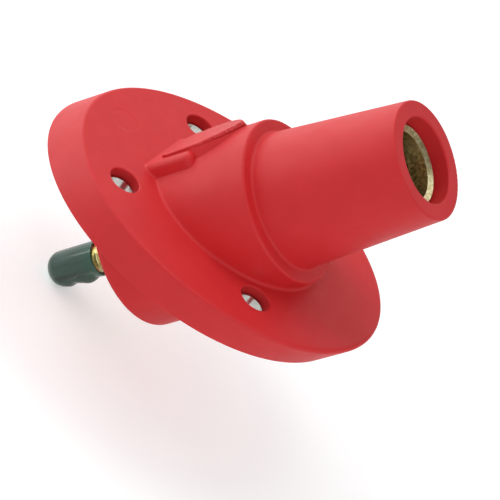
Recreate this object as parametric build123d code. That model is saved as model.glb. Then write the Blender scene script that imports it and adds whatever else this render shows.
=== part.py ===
from build123d import *
from math import cos, radians, sin, tan
import os

# Angled panel receptacle of a single-pole power connector. All sizes are in millimetres.
# The flange's rear face lies on the panel, in the plane Z = 0, and +Z points out of the panel.
# The origin is the centre of the four mounting holes. The tube leans from +Z towards +X.
# Places along the tube are distances from the point where its axis meets the flange's front face:
# forward, towards the nose, is positive.

# Flange
FLANGE_THICKNESS = 9.9
FLANGE_HALF_LENGTH = 47.3
FLANGE_HALF_WIDTH = 40.3
FLANGE_SHIFT = -0.1
FLANGE_FRONT_ROUND = 1.0
FLANGE_REAR_ROUND = 0.3

# Mounting holes, each with a metal sleeve that keeps the screw from crushing the moulding
HOLE_SPACING = 44.45
SCREW_HOLE_RADIUS = 3.57
SLEEVE_WALL = 1.2
SLEEVE_RECESS = 2.85
HOLE_MOUTH_RADIUS = 4.2
HOLE_RIM_ROUND = 0.35

# Tube, from the boss behind the panel to the shoulder in front of it
TUBE_LEAN_DEG = 30.0
TUBE_RADIUS = 21.7
BOSS_END = -30.3
SHOULDER = 16.9
BOSS_RIM_ROUND = 1.5
SHOULDER_ROUND = 0.7
FOOT_ROUND = 0.8

# Tapered nose
NOSE_BASE_RADIUS = 18.0
NOSE_TIP_RADIUS = 15.5
NOSE_TIP = 57.2
NOSE_FOOT_ROUND = 0.8
NOSE_RIM_ROUND = 0.45
BORE_RIM_ROUND = 0.5

# Raised pad along the tube's crown, and the arrow on it that shows where the cam pin lies
PAD_HALF_WIDTH = 12.2
PAD_RISE = 0.1
PAD_DEPTH = 8.0
PAD_FRONT = 1.3
PAD_CORNER_ROUND = 2.0
PAD_EDGE_ROUND = 1.9
ARROW_HALF_WIDTH = 8.6
ARROW_REAR = -9.5
ARROW_SHOULDER = 2.0
ARROW_TIP = 12.6
ARROW_SIDE_RADIUS = 13.5
ARROW_REAR_RISE = 0.7
ARROW_TIP_RISE = 1.7
ARROW_DEPTH = 6.0
ARROW_DRAFT_DEG = 18.0
ARROW_CORNER_ROUND = 3.3
ARROW_EDGE_ROUND = 0.5
ARROW_FOOT_ROUND = 0.4

# Contact: a socket in front, a retaining collar, a solid rear body and a threaded stud
CONTACT_RADIUS = 11.0
CONTACT_RECESS = 4.3
SOCKET_RADIUS = 8.05
SOCKET_LAND_LENGTH = 23.0
SOCKET_DEPTH = 40.0
SOCKET_RELIEF_RADIUS = 8.6
SOCKET_MOUTH_CHAMFER = 0.9
CONTACT_RIM_CHAMFER = 0.35
COLLAR_RADIUS = 13.0
COLLAR_LENGTH = 4.0
COLLAR_FRONT = 8.0
STUD_RADIUS = 3.97
STUD_LENGTH = 27.0
STUD_CHAMFER = 0.9

# Slotted spring pin, set as a chord across the socket behind its land
PIN_RADIUS = 1.59
PIN_WALL = 0.5
PIN_SLOT = 0.7
PIN_SETBACK = 27.0
PIN_OFFSET = 6.6
PIN_INSET = 0.2

# Vinyl cap on the stud
CAP_WALL = 0.92
CAP_TIP_WALL = 1.67
CAP_OPEN_END = -43.4
CAP_TIP_ROUND = 3.9

# Clearances between pieces
SEAT_CLEARANCE = 0.05
CONTACT_CLEARANCE = 0.2
CAP_CLEARANCE = 0.03

# How far a cut runs past the face it opens, and how closely an edge has to match a stated place
OVERCUT = 1.0
MATCH = 0.01

# Solids that stand on their own origin instead of being centred on it
STANDING = (Align.CENTER, Align.CENTER, Align.MIN)

# Worked out from the sizes above
LEAN = radians(TUBE_LEAN_DEG)
CONTACT_FRONT = NOSE_TIP - CONTACT_RECESS
HOUSING_BORE_RADIUS = CONTACT_RADIUS + CONTACT_CLEARANCE
SLEEVE_RADIUS = SCREW_HOLE_RADIUS + SLEEVE_WALL
SLEEVE_LENGTH = FLANGE_THICKNESS - SLEEVE_RECESS
STUD_END = BOSS_END - STUD_LENGTH
PAD_TOP = TUBE_RADIUS + PAD_RISE

# The tube's axis crosses the middle of the flange's thickness straight above the origin.
# In this frame z runs forward along the tube, and -x is the side that carries the pad and the arrow.
TUBE_START = (FLANGE_THICKNESS / 2 * tan(LEAN), 0, FLANGE_THICKNESS)
TUBE_AXIS = (sin(LEAN), 0, cos(LEAN))
TUBE_FRAME = Plane(origin=TUBE_START, x_dir=(cos(LEAN), 0, -sin(LEAN)), z_dir=TUBE_AXIS)


def on_tube(shape):
    """Places a shape that was drawn about the Z axis on the tube's axis."""
    return TUBE_FRAME.location * shape


def turned(*outline):
    """Revolves an outline, given as (radius, place along the tube), about the Z axis."""
    points = [(radius, 0, place) for radius, place in outline]
    return revolve(make_face(Polyline(*points, close=True)), Axis.Z)


def circles_at(shape, radius, place):
    """The round edges of a turned shape that have this radius at this place along the tube."""
    return [
        edge
        for edge in shape.edges().filter_by(GeomType.CIRCLE)
        if abs(edge.radius - radius) < MATCH and abs(edge.arc_center.Z - place) < MATCH
    ]


def mounting_places():
    """The four corners of the square of mounting holes."""
    return GridLocations(HOLE_SPACING, HOLE_SPACING, 2, 2)


def flange():
    """An oval plate whose side wall runs parallel to the tube."""
    rear_centre_x = TUBE_START[0] - FLANGE_THICKNESS * tan(LEAN) + FLANGE_SHIFT
    oval = Pos(rear_centre_x, 0) * Ellipse(FLANGE_HALF_LENGTH, FLANGE_HALF_WIDTH)
    plate = extrude(oval, FLANGE_THICKNESS / cos(LEAN), dir=TUBE_AXIS)
    plate = fillet(plate.edges().group_by(Axis.Z)[-1], FLANGE_FRONT_ROUND)
    return fillet(plate.edges().group_by(Axis.Z)[0], FLANGE_REAR_ROUND)


def boss():
    """The plain stretch of tube, with its rounded rim behind the panel and shoulder in front."""
    cylinder = Pos(0, 0, BOSS_END) * Cylinder(TUBE_RADIUS, SHOULDER - BOSS_END, align=STANDING)
    cylinder = fillet(circles_at(cylinder, TUBE_RADIUS, BOSS_END), BOSS_RIM_ROUND)
    return fillet(circles_at(cylinder, TUBE_RADIUS, SHOULDER), SHOULDER_ROUND)


def nose():
    """The tapered front of the tube. Its foot reaches a little way into the shoulder."""
    cone = turned(
        (0, 0),
        (NOSE_BASE_RADIUS, 0),
        (NOSE_BASE_RADIUS, SHOULDER),
        (NOSE_TIP_RADIUS, NOSE_TIP),
        (0, NOSE_TIP),
    )
    return fillet(circles_at(cone, NOSE_TIP_RADIUS, NOSE_TIP), NOSE_RIM_ROUND)


def tube():
    """Boss and nose in one, about the Z axis, with the inner corner at the shoulder filled."""
    body = boss() + nose()
    return fillet(circles_at(body, NOSE_BASE_RADIUS, SHOULDER), NOSE_FOOT_ROUND)


def pad():
    """A flat-topped block over the tube's crown that grows out of the flange's front face."""
    rear = -PAD_TOP * tan(LEAN) - FLANGE_THICKNESS / 2
    block = Pos(-PAD_TOP, 0, rear) * Box(
        PAD_DEPTH,
        2 * PAD_HALF_WIDTH,
        PAD_FRONT - rear,
        align=(Align.MIN, Align.CENTER, Align.MIN),
    )
    corners = block.edges().filter_by(Axis.X).group_by(Axis.Z)[-1]
    block = fillet(corners, PAD_CORNER_ROUND)
    top = block.faces().sort_by(Axis.X)[0]
    rounded = [edge for edge in top.edges() if edge.center().Z > rear + MATCH]
    return fillet(rounded, PAD_EDGE_ROUND)


def arrow_outline():
    """The arrow's top seen square on, pointing along X from its straight rear end."""
    length = ARROW_TIP - ARROW_REAR
    shoulder = ARROW_SHOULDER - ARROW_REAR
    rear = Line((0, ARROW_HALF_WIDTH), (0, -ARROW_HALF_WIDTH))
    near_side = Line((0, -ARROW_HALF_WIDTH), (shoulder, -ARROW_HALF_WIDTH))
    near_bow = RadiusArc((shoulder, -ARROW_HALF_WIDTH), (length, 0), -ARROW_SIDE_RADIUS)
    far_bow = RadiusArc((length, 0), (shoulder, ARROW_HALF_WIDTH), -ARROW_SIDE_RADIUS)
    far_side = Line((shoulder, ARROW_HALF_WIDTH), (0, ARROW_HALF_WIDTH))
    face = make_face([rear, near_side, near_bow, far_bow, far_side])
    return fillet(face.vertices().group_by(Axis.X)[0], ARROW_CORNER_ROUND)


def arrow():
    """A flat arrow that rises from its rear end to its point, with sides that spread downwards."""
    rear_top = TUBE_RADIUS + ARROW_REAR_RISE
    tip_top = TUBE_RADIUS + ARROW_TIP_RISE
    along = Vector(rear_top - tip_top, 0, ARROW_TIP - ARROW_REAR).normalized()
    top = Plane(origin=(-rear_top, 0, ARROW_REAR), x_dir=along, z_dir=(-along.Z, 0, along.X))
    body = extrude(arrow_outline(), -ARROW_DEPTH, taper=-ARROW_DRAFT_DEG)
    lid = body.faces().sort_by(Axis.Z)[-1]
    return top.location * fillet(lid.edges(), ARROW_EDGE_ROUND)


def arrow_foot_edges(body):
    """Where the arrow's sides meet the round tube in front of the pad."""
    return [
        edge
        for edge in body.edges().filter_by(GeomType.BSPLINE)
        if PAD_FRONT < edge.center().Z < SHOULDER
        and abs(Vector(0, 0, (edge @ 0.5).Z).sub(edge @ 0.5).length - TUBE_RADIUS) < MATCH
    ]


def housing_cavity():
    """The space that the contact fills, open at both ends, with a groove for its collar."""
    groove_radius = COLLAR_RADIUS + SEAT_CLEARANCE
    groove_front = COLLAR_FRONT + SEAT_CLEARANCE
    groove_rear = COLLAR_FRONT - COLLAR_LENGTH - SEAT_CLEARANCE
    return turned(
        (0, BOSS_END - OVERCUT),
        (HOUSING_BORE_RADIUS, BOSS_END - OVERCUT),
        (HOUSING_BORE_RADIUS, groove_rear),
        (groove_radius, groove_rear),
        (groove_radius, groove_front),
        (HOUSING_BORE_RADIUS, groove_front),
        (HOUSING_BORE_RADIUS, NOSE_TIP + OVERCUT),
        (0, NOSE_TIP + OVERCUT),
    )


def sleeve_pocket():
    """One mounting hole in the moulding: a mouth in front and a wider seat for the sleeve behind."""
    seat_depth = SLEEVE_LENGTH + SEAT_CLEARANCE + OVERCUT
    mouth = Cylinder(HOLE_MOUTH_RADIUS, FLANGE_THICKNESS + OVERCUT, align=STANDING)
    seat = Cylinder(SLEEVE_RADIUS + SEAT_CLEARANCE, seat_depth, align=STANDING)
    return mouth + Pos(0, 0, -OVERCUT) * seat


def foot_edges(body):
    """Where the tube and the pad grow out of the flange's front face: all but its own rim."""
    in_face = body.edges().filter_by_position(Axis.Z, FLANGE_THICKNESS - MATCH, FLANGE_THICKNESS + MATCH)
    return in_face.sort_by(SortBy.LENGTH)[:-1]


def bore_rim(body):
    """The edge of the bore at the tip of the nose."""
    centre = TUBE_FRAME.origin + NOSE_TIP * TUBE_FRAME.z_dir
    return [
        edge
        for edge in body.edges().filter_by(GeomType.CIRCLE)
        if abs(edge.radius - HOUSING_BORE_RADIUS) < MATCH and (edge.arc_center - centre).length < MATCH
    ]


def insulator_housing():
    """The elastomer moulding."""
    form = tube() + pad() + arrow()
    form = fillet(arrow_foot_edges(form), ARROW_FOOT_ROUND)
    body = flange() + on_tube(form)
    body = fillet(foot_edges(body), FOOT_ROUND)
    body -= on_tube(housing_cavity())
    body = fillet(bore_rim(body), BORE_RIM_ROUND)
    for place in mounting_places():
        body -= place * sleeve_pocket()
    return fillet(circles_at(body, HOLE_MOUTH_RADIUS, FLANGE_THICKNESS), HOLE_RIM_ROUND)


def contact():
    """The brass contact, turned from one bar, with the cross hole for its pin."""
    bottom = CONTACT_FRONT - SOCKET_DEPTH
    relief = CONTACT_FRONT - SOCKET_LAND_LENGTH
    collar_rear = COLLAR_FRONT - COLLAR_LENGTH
    body = turned(
        (0, STUD_END),
        (STUD_RADIUS - STUD_CHAMFER, STUD_END),
        (STUD_RADIUS, STUD_END + STUD_CHAMFER),
        (STUD_RADIUS, BOSS_END),
        (CONTACT_RADIUS - CONTACT_RIM_CHAMFER, BOSS_END),
        (CONTACT_RADIUS, BOSS_END + CONTACT_RIM_CHAMFER),
        (CONTACT_RADIUS, collar_rear),
        (COLLAR_RADIUS, collar_rear),
        (COLLAR_RADIUS, COLLAR_FRONT),
        (CONTACT_RADIUS, COLLAR_FRONT),
        (CONTACT_RADIUS, CONTACT_FRONT - CONTACT_RIM_CHAMFER),
        (CONTACT_RADIUS - CONTACT_RIM_CHAMFER, CONTACT_FRONT),
        (SOCKET_RADIUS + SOCKET_MOUTH_CHAMFER, CONTACT_FRONT),
        (SOCKET_RADIUS, CONTACT_FRONT - SOCKET_MOUTH_CHAMFER),
        (SOCKET_RADIUS, relief),
        (SOCKET_RELIEF_RADIUS, relief),
        (SOCKET_RELIEF_RADIUS, bottom),
        (0, bottom),
    )
    cross_hole = Cylinder(PIN_RADIUS + SEAT_CLEARANCE, 2 * (CONTACT_RADIUS + OVERCUT))
    return on_tube(body - pin_place() * cross_hole)


def pin_place():
    """Where the cam pin's middle lies: under the arrow, square to the socket's axis."""
    return Pos(-PIN_OFFSET, 0, CONTACT_FRONT - PIN_SETBACK) * Rot(90, 0, 0)


def cam_pin():
    """A slotted spring pin that ends just inside the contact's outer surface."""
    half_length = (CONTACT_RADIUS**2 - (PIN_OFFSET + PIN_RADIUS) ** 2) ** 0.5 - PIN_INSET
    cut_length = 2 * (half_length + OVERCUT)
    outside = Cylinder(PIN_RADIUS, 2 * half_length)
    inside = Cylinder(PIN_RADIUS - PIN_WALL, cut_length)
    slot = Pos(-PIN_RADIUS, 0, 0) * Box(2 * PIN_RADIUS, PIN_SLOT, cut_length)
    return on_tube(pin_place() * (outside - inside - slot))


def mounting_sleeve():
    """One sleeve, standing on the panel plane."""
    outside = Cylinder(SLEEVE_RADIUS, SLEEVE_LENGTH, align=STANDING)
    return outside - Cylinder(SCREW_HOLE_RADIUS, SLEEVE_LENGTH, align=STANDING)


def stud_cap():
    """A closed tube with a round tip, pushed on until it meets the stud's end."""
    inner_radius = STUD_RADIUS + CAP_CLEARANCE
    outer_radius = inner_radius + CAP_WALL
    inner_end = STUD_END - CAP_CLEARANCE
    tip = inner_end - CAP_TIP_WALL
    body = turned((0, tip), (outer_radius, tip), (outer_radius, CAP_OPEN_END), (0, CAP_OPEN_END))
    body = fillet(circles_at(body, outer_radius, tip), CAP_TIP_ROUND)
    inside = turned(
        (0, inner_end),
        (inner_radius - STUD_CHAMFER, inner_end),
        (inner_radius, inner_end + STUD_CHAMFER),
        (inner_radius, CAP_OPEN_END + OVERCUT),
        (0, CAP_OPEN_END + OVERCUT),
    )
    return on_tube(body - inside)


def pieces():
    """Every piece, by the name of its file."""
    named = {
        "insulator_housing": insulator_housing(),
        "contact": contact(),
        "cam_pin": cam_pin(),
        "stud_cap": stud_cap(),
    }
    for number, place in enumerate(mounting_places(), start=1):
        named[f"mounting_sleeve_{number}"] = place * mounting_sleeve()
    return named


os.makedirs("parts", exist_ok=True)
for name, piece in pieces().items():
    export_step(piece, f"parts/{name}.step")
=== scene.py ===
from math import cos, exp, pi, radians, sin, tan

import bmesh
import bpy
from mathutils import Matrix, Vector

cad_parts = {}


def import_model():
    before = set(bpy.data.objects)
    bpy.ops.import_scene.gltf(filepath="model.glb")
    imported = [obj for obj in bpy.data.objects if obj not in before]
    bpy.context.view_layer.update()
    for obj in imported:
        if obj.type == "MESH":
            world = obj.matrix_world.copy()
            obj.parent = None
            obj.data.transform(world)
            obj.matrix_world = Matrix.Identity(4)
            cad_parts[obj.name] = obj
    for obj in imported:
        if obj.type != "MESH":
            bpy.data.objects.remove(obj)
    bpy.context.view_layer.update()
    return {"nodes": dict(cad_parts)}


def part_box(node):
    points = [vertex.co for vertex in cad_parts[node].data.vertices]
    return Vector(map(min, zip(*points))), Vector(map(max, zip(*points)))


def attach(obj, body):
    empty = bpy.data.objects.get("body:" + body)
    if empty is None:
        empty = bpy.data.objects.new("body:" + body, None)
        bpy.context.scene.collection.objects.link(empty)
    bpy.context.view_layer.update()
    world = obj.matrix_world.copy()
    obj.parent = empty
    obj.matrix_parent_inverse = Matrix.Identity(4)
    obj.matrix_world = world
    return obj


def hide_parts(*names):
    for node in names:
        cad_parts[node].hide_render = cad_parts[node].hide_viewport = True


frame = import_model()

# The object is in metres. Its sizes below are in millimetres, and MM turns them into metres.
MM = 0.001

# How closely a corner of a CAD mesh has to match a stated place
MATCH = 0.01

# The camera stands where the photograph was taken from, with its focal length counted in pixels of a
# 500 pixel frame.
CAMERA_PLACE = Vector((83.61, -654.04, 411.56)) * MM
CAMERA_RIGHT = Vector((0.73946, 0.41243, 0.53206))
CAMERA_DOWN = Vector((0.66662, -0.33844, -0.66413))
CAMERA_AWAY = CAMERA_RIGHT.cross(CAMERA_DOWN)
FOCAL_PIXELS = 3000.0
FRAME_PIXELS = 500.0
SENSOR = 36.0

# The tube's axis, as in the CAD: places along it are counted from the flange's front face
LEAN = radians(30.0)
FLANGE_THICKNESS = 9.9
TUBE_START = Vector((FLANGE_THICKNESS / 2 * tan(LEAN), 0.0, FLANGE_THICKNESS))
TUBE_AXIS = Vector((sin(LEAN), 0.0, cos(LEAN)))
TUBE_ACROSS = Vector((cos(LEAN), 0.0, -sin(LEAN)))
TUBE_SIDE = Vector((0.0, 1.0, 0.0))
TUBE_RADIUS = 21.7
BOSS_END = -30.3

# A shallow round step that the mould left on the flange's face, near its raised end
MARK_X = -35.3
MARK_Y = -1.0
MARK_INSIDE = 3.7
MARK_OUTSIDE = 4.6
MARK_HEIGHT = 0.08

# Front of the contact, as in the CAD, with a chamfer at the socket's mouth and one at the rim
CONTACT_FRONT = 52.9
CONTACT_RADIUS = 11.0
RIM_CHAMFER = 0.35
SOCKET_RADIUS = 8.05
MOUTH_CHAMFER = 0.9

# As it is drawn, its ring is turned hollow, and the mouth and the rim are steep cones
RING_DISH = 0.8
MOUTH_DEPTH = 8.0
RIM_WIDTH = 0.6
RIM_DEPTH = 1.5

# Threaded stud
STUD_RADIUS = 3.97
STUD_ROOT = 3.14
STUD_PITCH = 1.411
STUD_LENGTH = 27.0
STUD_CHAMFER = 0.9

# Vinyl cap, pushed on until it meets the stud's end
CAP_CLEARANCE = 0.03
CAP_WALL = 0.92
CAP_TIP_WALL = 1.67
CAP_TIP_ROUND = 3.9
CAP_INSIDE = STUD_RADIUS + CAP_CLEARANCE
CAP_OUTSIDE = CAP_INSIDE + CAP_WALL
CAP_MOUTH = -42.9
CAP_FLARE = 0.5
CAP_FLARE_LENGTH = 3.0
CAP_INNER_END = BOSS_END - STUD_LENGTH - CAP_CLEARANCE
CAP_END = CAP_INNER_END - CAP_TIP_WALL

# The cap's wall has folded on its underside. Each ripple there has a height, a middle and a reach about
# the tube in degrees from the fold, and a middle and a reach along the tube from the cap's mouth.
FOLD_ANGLE = -20.0
CAP_RIPPLES = {
    "fold": (0.85, 0.0, 24.0, 5.0, 2.4),
    "crease beside the fold": (-0.80, -34.0, 8.0, 5.5, 2.8),
    "pinch before the fold": (-0.30, 0.0, 40.0, 2.3, 0.9),
    "pinch behind the fold": (-0.18, 0.0, 40.0, 9.5, 0.9),
    "second fold": (0.25, 4.0, 20.0, 11.4, 1.1),
}


def on_tube(across, side, along):
    """A point beside the tube's axis, in metres in the row's frame."""
    return (TUBE_START + across * TUBE_ACROSS + side * TUBE_SIDE + along * TUBE_AXIS) * MM


# Materials


class Nodes:
    """A node tree under construction, with short names for the nodes that it uses."""

    def __init__(self, tree):
        self.tree = tree

    def node(self, kind, **settings):
        made = self.tree.nodes.new(kind)
        for key, value in settings.items():
            setattr(made, key, value)
        return made

    def feed(self, socket, value):
        if isinstance(value, bpy.types.NodeSocket):
            self.tree.links.new(value, socket)
        else:
            socket.default_value = value

    def fed(self, made, *values):
        """Feeds a node's sockets in their order, and returns what comes out."""
        for socket, value in zip(made.inputs, values):
            self.feed(socket, value)
        return made.outputs[0]

    def math(self, operation, *values, clamp=False):
        return self.fed(self.node("ShaderNodeMath", operation=operation, use_clamp=clamp), *values)

    def product(self, first, *others):
        for other in others:
            first = self.math("MULTIPLY", first, other)
        return first

    def span(self, value, low, high, to_low, to_high, smooth=False):
        """Carries low to high over to to_low to to_high, and stays at its ends outside them."""
        made = self.node("ShaderNodeMapRange", interpolation_type="SMOOTHSTEP" if smooth else "LINEAR")
        return self.fed(made, value, low, high, to_low, to_high)

    def path_share(self, *kinds):
        """1 for a ray of one of these kinds, and 0 for any other."""
        path = self.node("ShaderNodeLightPath")
        total = path.outputs[kinds[0]]
        for kind in kinds[1:]:
            total = self.math("ADD", total, path.outputs[kind], clamp=True)
        return total


class Recipe(Nodes):
    """A material of the object under construction."""

    def __init__(self, name):
        self.material = bpy.data.materials.new(name)
        self.material.use_nodes = True
        super().__init__(self.material.node_tree)
        self.shader = self.tree.nodes["Principled BSDF"]
        self.place = self.node("ShaderNodeTexCoord").outputs["Object"]

    def beside_tube(self):
        """Millimetres across, to the side of and along the tube's axis."""
        mapping = self.node("ShaderNodeMapping", vector_type="TEXTURE")
        self.feed(mapping.inputs["Vector"], self.place)
        mapping.inputs["Location"].default_value = TUBE_START * MM
        mapping.inputs["Rotation"].default_value = (0, LEAN, 0)
        mapping.inputs["Scale"].default_value = (MM, MM, MM)
        return mapping.outputs["Vector"]

    def noise(self, vector, size, detail=2.0, rough=0.5, stretch=(1, 1, 1), unit=MM):
        """Noise from 0 to 1, with features about size millimetres across.

        Unit is the length of a millimetre in the given vector.
        """
        mapping = self.node("ShaderNodeMapping")
        self.feed(mapping.inputs["Vector"], vector)
        mapping.inputs["Scale"].default_value = [1 / (unit * size * longer) for longer in stretch]
        made = self.node("ShaderNodeTexNoise")
        self.feed(made.inputs["Vector"], mapping.outputs["Vector"])
        made.inputs["Scale"].default_value = 1.0
        made.inputs["Detail"].default_value = detail
        made.inputs["Roughness"].default_value = rough
        return made.outputs["Fac"]

    def length(self, x, y):
        """How far the point x, y is from the middle."""
        squares = self.math("ADD", self.product(x, x), self.product(y, y))
        return self.math("SQRT", squares)

    def mix(self, factor, first, second):
        """Goes from the first colour to the second, each three numbers or a socket."""
        made = self.node("ShaderNodeMix", data_type="RGBA")
        self.feed(made.inputs["Factor"], factor)
        self.feed(made.inputs[6], (*first, 1) if isinstance(first, tuple) else first)
        self.feed(made.inputs[7], (*second, 1) if isinstance(second, tuple) else second)
        return made.outputs[2]

    def parts(self, vector):
        made = self.node("ShaderNodeSeparateXYZ")
        self.feed(made.inputs[0], vector)
        return made.outputs

    def joined(self, *values):
        return self.fed(self.node("ShaderNodeCombineXYZ"), *values)

    def bump(self, height, distance, under=None):
        """Raises the surface by height times distance millimetres."""
        made = self.node("ShaderNodeBump")
        made.inputs["Strength"].default_value = 1.0
        made.inputs["Distance"].default_value = distance * MM
        self.feed(made.inputs["Height"], height)
        if under is not None:
            self.feed(made.inputs["Normal"], under)
        return made.outputs["Normal"]

    def finish(self, **sockets):
        for name, value in sockets.items():
            self.feed(self.shader.inputs[name.replace("_", " ")], value)
        return self.material


def mould_mark(r):
    """The step that the mould left: 0 inside its circle and 1 outside."""
    x, y, _ = r.parts(r.place)
    from_middle = r.length(r.math("SUBTRACT", x, MARK_X * MM), r.math("SUBTRACT", y, MARK_Y * MM))
    return r.span(from_middle, MARK_INSIDE * MM, MARK_OUTSIDE * MM, 0.0, 1.0, smooth=True)


def torn_top_and_highlight(r):
    """How far the arrow's top is ragged, most of all near its point, and 0 everywhere else. It also
    places the painted highlight there.
    """
    across, _, along = r.parts(r.beside_tube())
    height = r.parts(r.place)["Z"]
    above_flange = r.span(height, (FLANGE_THICKNESS + 0.4) * MM, (FLANGE_THICKNESS + 1.2) * MM, 0.0, 1.0)
    above_tube = r.span(across, -TUBE_RADIUS - 0.35, -TUBE_RADIUS - 0.75, 0.0, 1.0)
    near_point = r.span(along, 1.0, 8.0, 0.4, 1.0)
    return r.product(above_tube, above_flange, near_point, r.noise(r.place, 1.1, detail=3.0, rough=0.65))


def rubber():
    """Moulded red elastomer: satin, softly mottled and finely grained, and ragged on the arrow's top,
    with a painted highlight there near its point.
    """
    deep, bright = (0.62, 0.020, 0.024), (0.68, 0.025, 0.029)
    # The second colour here is a painted highlight for the arrow's top
    grain_tips, painted_highlight = (0.70, 0.06, 0.065), (0.80, 0.22, 0.22)
    r = Recipe("red_elastomer")
    mottle = r.noise(r.place, 9.0, detail=3.0, rough=0.55)
    cloud = r.noise(r.place, 38.0)
    sheen = r.noise(r.place, 5.0, detail=3.0, rough=0.6)
    grain = r.noise(r.place, 0.45, detail=3.0, rough=0.6)
    orange_peel = r.noise(r.place, 2.6)
    torn_and_highlight = torn_top_and_highlight(r)
    both = r.math("ADD", r.product(mottle, 0.6), r.product(cloud, 0.4))
    colour = r.mix(r.span(both, 0.3, 0.7, 0.0, 1.0), deep, bright)
    colour = r.mix(r.span(grain, 0.62, 0.78, 0.0, 0.15), colour, grain_tips)
    # Painted highlight: whitish pink on the arrow's ragged top, most near its point
    colour = r.mix(r.span(torn_and_highlight, 0.50, 0.66, 0.0, 0.4), colour, painted_highlight)
    roughness = r.span(sheen, 0.3, 0.7, 0.50, 0.58)
    normal = r.bump(mould_mark(r), MARK_HEIGHT)
    normal = r.bump(torn_and_highlight, 0.9, normal)
    normal = r.bump(orange_peel, 0.012, normal)
    normal = r.bump(grain, 0.004, normal)
    return r.finish(Base_Color=colour, Roughness=roughness, Normal=normal, Specular_IOR_Level=0.32)


def turned_brass():
    """Brass, turned with fine rings about the tube's axis and speckled with pits, and darkened in
    speckles inside the socket as painted shade.
    """
    dark, light = (0.48, 0.43, 0.19), (0.86, 0.81, 0.50)
    # The second colour here is painted shade for the socket's wall
    dull, painted_socket_shade = (0.66, 0.62, 0.38), (0.13, 0.12, 0.05)
    r = Recipe("turned_brass")
    across, side, along = r.parts(r.beside_tube())
    radius = r.length(across, side)
    lines = r.noise(r.joined(radius, 0.0, along), 0.16, detail=3.0, rough=0.6, unit=1.0)
    spots = r.noise(r.place, 1.0, detail=4.0, rough=0.65)
    tone = r.noise(r.place, 4.0)
    colour = r.mix(r.span(spots, 0.40, 0.60, 0.0, 1.0), dark, light)
    colour = r.mix(r.span(tone, 0.35, 0.65, 0.0, 0.35), colour, dull)
    # The socket's wall is rougher than the ring in front of it, and is painted darker in speckles as
    # painted shade of the deep socket
    inside_ring = r.span(radius, SOCKET_RADIUS + 0.15, SOCKET_RADIUS + 0.95, 1.0, 0.0)
    in_socket = r.product(inside_ring, r.span(along, 0.0, 2.0, 0.0, 1.0))
    # Painted shade: the socket's wall is darkened in speckles
    colour = r.mix(r.product(in_socket, r.span(spots, 0.46, 0.56, 0.75, 0.0)), colour, painted_socket_shade)
    roughness = r.math("ADD", r.span(spots, 0.35, 0.7, 0.38, 0.24), r.product(in_socket, 0.04))
    pits = r.product(spots, r.span(in_socket, 0.0, 1.0, 0.2, 1.0))
    normal = r.bump(lines, 0.006, r.bump(pits, 0.2))
    return r.finish(Base_Color=colour, Metallic=1.0, Roughness=roughness, Normal=normal)


def plated_steel(name, tint):
    """Rolled and plated steel, with fine lines square to the panel."""
    r = Recipe(name)
    lines = r.noise(r.place, 0.45, detail=3.0, rough=0.6, stretch=(1, 1, 8))
    cloud = r.noise(r.place, 2.2, detail=3.0, rough=0.6)
    darker = tuple(0.88 * part for part in tint)
    lighter = tuple(1.08 * part for part in tint)
    colour = r.mix(r.span(cloud, 0.35, 0.65, 0.0, 1.0), darker, lighter)
    roughness = r.span(lines, 0.3, 0.7, 0.10, 0.20)
    return r.finish(Base_Color=colour, Metallic=1.0, Roughness=roughness, Normal=r.bump(lines, 0.02))


def vinyl():
    """Dipped dark green vinyl: glossy, with faint streaks along it that are partly left by the dip and
    partly painted reflection, greener at its mouth, and lighter at its tip as a painted reflection.
    """
    dark, light = (0.008, 0.036, 0.025), (0.026, 0.085, 0.060)
    # The second colour here is a painted reflection for the tip
    mouth_green, tip_painted_reflection = (0.008, 0.095, 0.050), (0.07, 0.18, 0.14)
    r = Recipe("green_vinyl")
    beside_tube = r.beside_tube()
    along = r.parts(beside_tube)["Z"]
    runs_and_reflection_streaks = r.noise(beside_tube, 2.2, stretch=(1, 1, 7), unit=1.0)
    dust = r.noise(r.place, 0.5, detail=3.0, rough=0.6)
    at_mouth = r.span(along, CAP_MOUTH - 5.0, CAP_MOUTH - 1.0, 0.0, 0.8)
    painted_reflection_at_tip = r.span(along, CAP_END + 4.0, CAP_END + 0.5, 0.0, 0.6, smooth=True)
    # Light and dark streaks along the cap: partly left by the dip, partly painted reflection
    colour = r.mix(r.span(runs_and_reflection_streaks, 0.35, 0.65, 0.0, 1.0), dark, light)
    colour = r.mix(at_mouth, colour, mouth_green)
    # Painted reflection: the tip is lighter where it would catch the bright backdrop
    colour = r.mix(painted_reflection_at_tip, colour, tip_painted_reflection)
    roughness = r.span(dust, 0.35, 0.7, 0.12, 0.20)
    normal = r.bump(dust, 0.004, r.bump(runs_and_reflection_streaks, 0.25))
    bloom = dict(Sheen_Weight=0.7, Sheen_Roughness=0.25, Sheen_Tint=(0.8, 1.0, 0.95, 1.0))
    return r.finish(Base_Color=colour, Roughness=roughness, Normal=normal, IOR=1.54, **bloom)


# Pieces


def in_scene(name, data):
    """A new object in the scene that shows this mesh, lamp or camera."""
    made = bpy.data.objects.new(name, data)
    bpy.context.scene.collection.objects.link(made)
    return made


def piece(name, bm, material, node, sharp):
    """Turns a closed bmesh in metres into a piece on the root body that stands for a CAD node.

    An edge is drawn sharp where its faces turn by more than sharp degrees.
    """
    bmesh.ops.recalc_face_normals(bm, faces=bm.faces)
    mesh = bpy.data.meshes.new(name)
    bm.to_mesh(mesh)
    bm.free()
    mesh.polygons.foreach_set("use_smooth", [True] * len(mesh.polygons))
    mesh.set_sharp_from_angle(angle=radians(sharp))
    mesh.materials.append(material)
    made = in_scene(name, mesh)
    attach(made, "root")
    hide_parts(node)


def open_edges(bm):
    return [edge for edge in bm.edges if edge.is_boundary]


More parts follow.
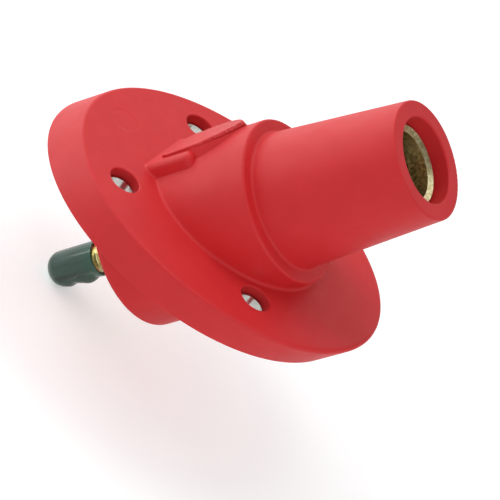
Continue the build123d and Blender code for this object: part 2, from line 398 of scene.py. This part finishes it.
def front_move(along, radius):
    """How far a corner at the front of the CAD contact moves back, and how far it moves inward."""
    from_front = CONTACT_FRONT - along
    on_ring = abs(from_front) < MATCH
    on_chamfer = MATCH <= from_front < MOUTH_CHAMFER + MATCH
    if on_ring and radius < SOCKET_RADIUS + MOUTH_CHAMFER + MATCH:
        return RING_DISH, 0.0
    if on_ring and radius > CONTACT_RADIUS - RIM_CHAMFER - MATCH:
        return 0.0, RIM_WIDTH - RIM_CHAMFER
    if on_chamfer and radius < SOCKET_RADIUS + MATCH:
        return MOUTH_DEPTH - from_front, 0.0
    if on_chamfer and radius > CONTACT_RADIUS - MATCH:
        return RIM_DEPTH - from_front, 0.0
    return 0.0, 0.0


def contact_body():
    """The CAD contact with its front reshaped, cut off where its plain stud starts and closed there."""
    bm = bmesh.new()
    bm.from_mesh(frame["nodes"]["contact"].data)
    bmesh.ops.remove_doubles(bm, verts=bm.verts, dist=1e-6)
    everything = list(bm.verts) + list(bm.edges) + list(bm.faces)
    cut = dict(plane_co=on_tube(0, 0, BOSS_END + MATCH), plane_no=TUBE_AXIS, clear_inner=True)
    bmesh.ops.bisect_plane(bm, geom=everything, dist=1e-8, **cut)
    bmesh.ops.contextual_create(bm, geom=open_edges(bm))
    for vert in bm.verts:
        arm = vert.co / MM - TUBE_START
        along = arm.dot(TUBE_AXIS)
        outward = arm - along * TUBE_AXIS
        back, inward = front_move(along, outward.length)
        vert.co -= (back * TUBE_AXIS + inward * outward.normalized()) * MM
    return bm


def thread_radius(turn, along):
    """Radius of the stud at a place along it, where turn is the share of a turn about its axis.

    The thread rises out of a plain neck, its run-in, and ends in the stud's chamfer.
    """
    run_in = 1.2
    crest_ends, root_starts = 0.16, 0.84
    from_crest = abs((along / STUD_PITCH - turn) % 1.0 - 0.5) * 2
    depth = min(1.0, max(0.0, (from_crest - crest_ends) / (root_starts - crest_ends)))
    risen = min(1.0, max(0.0, along / run_in - 1.0))
    radius = STUD_ROOT + (STUD_RADIUS - STUD_ROOT) * (1.0 - depth) * risen
    return min(radius, STUD_RADIUS - STUD_CHAMFER + max(0.0, STUD_LENGTH - along))


def contact_stud():
    """The threaded stud, on a grid that follows the thread's helix and is cut off square at both ends."""
    around, per_pitch, sunk = 64, 12, 0.3
    pitches_before, pitches_after = 1, 2
    row_count = int((pitches_before + STUD_LENGTH / STUD_PITCH + pitches_after) * per_pitch)
    bm = bmesh.new()
    grid = []
    for step in range(around + 1):
        turn = step / around
        angle = 2 * pi * turn
        column = []
        for row in range(row_count):
            along = (row / per_pitch - pitches_before + turn) * STUD_PITCH
            along = min(STUD_LENGTH, max(-sunk, along))
            radius = thread_radius(turn, along)
            point = on_tube(radius * cos(angle), radius * sin(angle), BOSS_END - along)
            column.append(bm.verts.new(point))
        grid.append(column)
    for left, right in zip(grid, grid[1:]):
        for corners in zip(left, left[1:], right[1:], right):
            bm.faces.new(corners)
    bmesh.ops.remove_doubles(bm, verts=bm.verts, dist=2e-6)
    bmesh.ops.dissolve_degenerate(bm, edges=bm.edges, dist=1e-6)
    bmesh.ops.holes_fill(bm, edges=open_edges(bm), sides=0)
    return bm


def bell(value, middle, reach):
    return exp(-(((value - middle) / reach) ** 2))


def cap_swell(degrees, along):
    """How far the cap's wall stands out of its round form."""
    from_fold = (degrees - FOLD_ANGLE + 180.0) % 360.0 - 180.0
    from_mouth = CAP_MOUTH - along
    swell = 0.0
    for height, turn, turn_reach, place, place_reach in CAP_RIPPLES.values():
        swell += height * bell(from_fold, turn, turn_reach) * bell(from_mouth, place, place_reach)
    return swell


def cap_outline():
    """The cap's wall from its inner end's middle to its tip: radius, place and share of the swell."""
    lip = (CAP_OUTSIDE - CAP_INSIDE - CAP_FLARE) / 2
    lip_place = CAP_MOUTH - lip
    tip_place = CAP_END + CAP_TIP_ROUND
    tip_middle = CAP_OUTSIDE - CAP_TIP_ROUND
    inner_corner = CAP_INNER_END + STUD_CHAMFER
    lengthwise, over_lip, over_tip, over_end = 60, 8, 16, 4
    rows = [(CAP_INSIDE - STUD_CHAMFER, CAP_INNER_END, 0.0)]
    for step in range(lengthwise):
        along = inner_corner + (lip_place - inner_corner) * step / lengthwise
        flare = max(0.0, 1.0 - (lip_place - along) / CAP_FLARE_LENGTH)
        rows.append((CAP_INSIDE + CAP_FLARE * flare**2, along, 1.0))
    for step in range(over_lip):
        angle = pi * step / over_lip
        rows.append((CAP_OUTSIDE - lip - lip * cos(angle), lip_place + lip * sin(angle), 1.0))
    for step in range(lengthwise):
        rows.append((CAP_OUTSIDE, lip_place + (tip_place - lip_place) * step / lengthwise, 1.0))
    for step in range(over_tip):
        angle = pi / 2 * step / over_tip
        radius = tip_middle + CAP_TIP_ROUND * cos(angle)
        rows.append((radius, tip_place - CAP_TIP_ROUND * sin(angle), cos(angle) ** 0.5))
    for step in range(over_end):
        rows.append((tip_middle * (1 - step / over_end), CAP_END, 0.0))
    return rows


def vinyl_cap():
    """A closed tube with a round tip, a rounded open mouth and a fold on its underside.

    A ripple never takes the wall inside the stud, nor more than thinned_by inward.
    """
    around, thinned_by = 128, 0.6
    bm = bmesh.new()
    rings = []
    for radius, along, share in cap_outline():
        most_inward = min(0.0, max(-thinned_by, STUD_RADIUS - radius))
        ring = []
        for step in range(around):
            angle = 2 * pi * step / around
            bulged = radius + share * max(cap_swell(360.0 * step / around, along), most_inward)
            ring.append(bm.verts.new(on_tube(bulged * cos(angle), bulged * sin(angle), along)))
        rings.append(ring)
    for low, high in zip(rings, rings[1:]):
        for step in range(around):
            after = (step + 1) % around
            bm.faces.new((low[step], low[after], high[after], high[step]))
    for ring in (rings[0], rings[-1]):
        bm.faces.new(ring)
    return bm


brass = turned_brass()
piece("contact_body", contact_body(), brass, "contact", sharp=20.0)
piece("contact_stud", contact_stud(), brass, "contact", sharp=24.0)
piece("vinyl_cap", vinyl_cap(), vinyl(), "stud_cap", sharp=50.0)

finishes = {"insulator_housing": rubber(), "cam_pin": plated_steel("pin_steel", (0.5, 0.5, 0.49))}
sleeve_steel = plated_steel("sleeve_steel", (0.72, 0.72, 0.7))
for number in range(1, 5):
    finishes[f"mounting_sleeve_{number}"] = sleeve_steel
for name, finish in finishes.items():
    for material_slot in frame["nodes"][name].material_slots:
        material_slot.material = finish


# Floor, light and camera


def view_direction(right, up, near):
    """A direction given as the photograph shows it: to the right, up, and towards the camera."""
    return right * CAMERA_RIGHT - up * CAMERA_DOWN - near * CAMERA_AWAY


def floor():
    """A pale floor just below the cap's tip that turns white to the camera and keeps the shadow."""
    half, glow, gap = 0.6, 0.40, 0.05
    height = min(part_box(name)[0].z for name in frame["nodes"]) - gap * MM
    corners = [(x, y, height) for x, y in ((-half, -half), (half, -half), (half, half), (-half, half))]
    mesh = bpy.data.meshes.new("floor")
    mesh.from_pydata(corners, [], [(0, 1, 2, 3)])
    in_scene("floor", mesh)
    material = bpy.data.materials.new("floor")
    material.use_nodes = True
    nodes = Nodes(material.node_tree)
    nodes.tree.nodes.clear()
    seen = nodes.path_share("Is Camera Ray", "Is Glossy Ray", "Is Transmission Ray")
    diffuse = nodes.node("ShaderNodeBsdfDiffuse")
    diffuse.inputs["Color"].default_value = (0.77, 0.8, 0.8, 1)
    emission = nodes.node("ShaderNodeEmission")
    nodes.feed(emission.inputs["Strength"], nodes.product(seen, glow))
    both = nodes.fed(nodes.node("ShaderNodeAddShader"), diffuse.outputs[0], emission.outputs[0])
    nodes.feed(nodes.node("ShaderNodeOutputMaterial").inputs["Surface"], both)
    mesh.materials.append(material)


def world(ambient, dim, low, high):
    """An even light on the object, and a white backdrop that reflections show as a room.

    As the photograph shows directions, the room goes from low underneath to high overhead, and is dim
    times that on the camera's side.
    """
    made = bpy.data.worlds.new("studio")
    bpy.context.scene.world = made
    made.use_nodes = True
    nodes = Nodes(made.node_tree)
    place = nodes.node("ShaderNodeTexCoord").outputs["Generated"]

    def toward(right, up, near):
        """The cosine of the angle between a ray and a direction."""
        made = nodes.node("ShaderNodeVectorMath", operation="DOT_PRODUCT")
        made.inputs[1].default_value = view_direction(right, up, near).normalized()
        nodes.feed(made.inputs[0], place)
        return made.outputs["Value"]

    camera_side = nodes.span(toward(0.0, -0.1, 1.0), 0.1, 0.6, 1.0, dim, smooth=True)
    overhead = nodes.span(toward(-0.25, 1.0, -0.1), -0.1, 0.85, low, high, smooth=True)
    mirrored = nodes.path_share("Is Glossy Ray", "Is Transmission Ray")
    level = nodes.span(mirrored, 0.0, 1.0, ambient, nodes.product(camera_side, overhead))
    level = nodes.span(nodes.path_share("Is Camera Ray"), 0.0, 1.0, level, 1.0)
    background = nodes.tree.nodes["Background"]
    background.inputs["Color"].default_value = (1, 1, 1, 1)
    nodes.feed(background.inputs["Strength"], level)


def softbox(name, direction, distance, size, level, mirrored_only=False):
    """A soft lamp that aims at the object, with its distance and size in metres.

    Level is the brightness of a white surface that faces it.
    """
    aim = Vector((6.0, 0.0, 10.0)) * MM
    light = bpy.data.lights.new(name, "AREA")
    light.shape = "RECTANGLE"
    light.size, light.size_y = size
    light.energy = level * (pi * distance) ** 2
    made = in_scene(name, light)
    out = view_direction(*direction).normalized()
    made.location = aim + out * distance
    made.rotation_mode = "QUATERNION"
    made.rotation_quaternion = out.to_track_quat("Z", "Y")
    made.visible_diffuse = made.visible_camera = not mirrored_only


def camera():
    """The camera that the photograph's place, directions and focal length give."""
    data = bpy.data.cameras.new("camera")
    data.sensor_width = SENSOR
    data.lens = FOCAL_PIXELS / FRAME_PIXELS * SENSOR
    data.clip_start, data.clip_end = 0.01, 20.0
    made = in_scene("camera", data)
    right = CAMERA_RIGHT.normalized()
    away = CAMERA_AWAY.normalized()
    down = away.cross(right)
    turn = Matrix((right, -down, -away)).transposed()
    made.matrix_world = Matrix.Translation(CAMERA_PLACE) @ turn.to_4x4()
    bpy.context.scene.camera = made


floor()
world(ambient=0.60, dim=0.2, low=0.45, high=1.4)
softbox("key", (-0.35, 1.0, 0.25), distance=0.7, size=(0.5, 0.5), level=0.26)
softbox("back", (-0.4, 1.0, -0.4), distance=0.7, size=(0.5, 0.5), level=0.26)
softbox("front", (0.45, 0.85, 0.5), distance=0.8, size=(0.3, 0.3), level=0.12)
softbox("low", (0.3, -0.6, 0.74), distance=0.95, size=(0.41, 0.41), level=0.20)
softbox("strip", (-0.83, 0.54, 0.13), distance=0.25, size=(0.09, 0.12), level=0.20, mirrored_only=True)
camera()
bpy.context.scene.view_settings.view_transform = "Standard"
